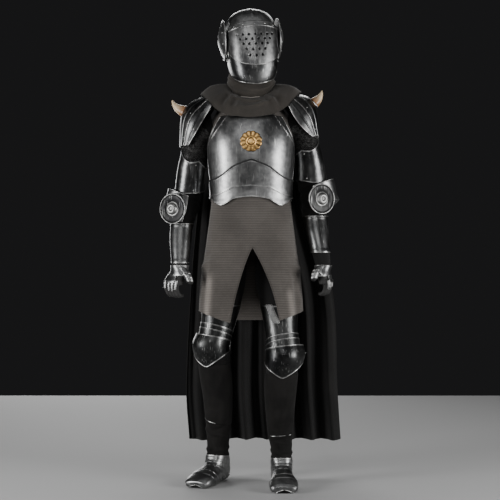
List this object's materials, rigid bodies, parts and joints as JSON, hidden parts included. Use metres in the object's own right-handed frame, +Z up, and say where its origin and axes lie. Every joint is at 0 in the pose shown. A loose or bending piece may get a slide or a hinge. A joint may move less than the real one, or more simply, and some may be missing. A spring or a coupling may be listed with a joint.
{
  "type": "suit of plate armour",
  "caption": "Hollow suit of plate armour worn over a knitted tunic, with pivoting helmet visor, gauntlets, hose, boots and cape.",
  "frame": {"origin": "on the shoulder line, where the wearer's shoulders carry the suit, midway between the arms", "axes": "+Z up, -Y the way the suit faces, +X towards the wearer's left"},
  "size_m": [0.736, 0.4725, 1.8908],
  "materials": {
    "steel": "dark polished plate with soft scratches",
    "brass": "aged satin brass",
    "horn": "smooth horn, satin",
    "mail": "dark riveted rings",
    "knit": "fine rib knit, matt",
    "knit_dark": "fine rib knit, matt",
    "black_cloth": "plain weave, matt",
    "cape_cloth": "heavy wool, matt",
    "black_leather": "soft glove leather, satin",
    "suede": "black suede, napped"
  },
  "bodies": {
    "suit": {"helmet_skull": "steel", "helmet_bevor": "steel", "ear_disc_right": "steel", "ear_disc_left": "steel", "mantle": "knit_dark", "collar": "knit_dark", "breastplate": "steel", "plackart": "steel", "fauld": "steel", "backplate": "steel", "gusset_right": "steel", "gusset_left": "steel", "rosette": "brass", "tunic_front": "knit", "tunic_back": "knit", "pauldron_cap_right": "steel", "pauldron_cap_left": "steel", "pauldron_front_right": "steel", "pauldron_front_left": "steel", "pauldron_back_right": "steel", "pauldron_back_left": "steel", "horn_right": "horn", "horn_left": "horn", "arming_sleeve_right": "black_cloth", "arming_sleeve_left": "black_cloth", "mail_sleeve_right": "mail", "mail_sleeve_left": "mail", "rerebrace_right": "steel", "rerebrace_left": "steel", "couter_right": "steel", "couter_left": "steel", "couter_disc_right": "steel", "couter_disc_left": "steel", "vambrace_right": "steel", "vambrace_left": "steel", "glove_right": "black_leather", "glove_left": "black_leather", "gauntlet_back_right": "steel", "gauntlet_back_left": "steel", "gauntlet_fingers_right": "steel", "gauntlet_fingers_left": "steel", "hose_right": "black_cloth", "hose_left": "black_cloth", "cuisse_right": "steel", "cuisse_left": "steel", "poleyn_lames_right": "steel", "poleyn_lames_left": "steel", "poleyn_right": "steel", "poleyn_left": "steel", "greave_right": "suede", "greave_left": "suede", "boot_right": "suede", "boot_left": "suede", "sabaton_upper_right": "steel", "sabaton_upper_left": "steel", "sabaton_toe_right": "steel", "sabaton_toe_left": "steel", "cape": "cape_cloth"},
    "visor": {"helmet_visor": "steel"}
  },
  "joints": [
    {"name": "visor_hinge", "type": "hinge", "parent": "suit", "child": "visor", "pos_m": [0.002, -0.004, 0.277], "axis": [-0.9883, -0.1389, -0.0628], "range_deg": [0, 60]}
  ]
}
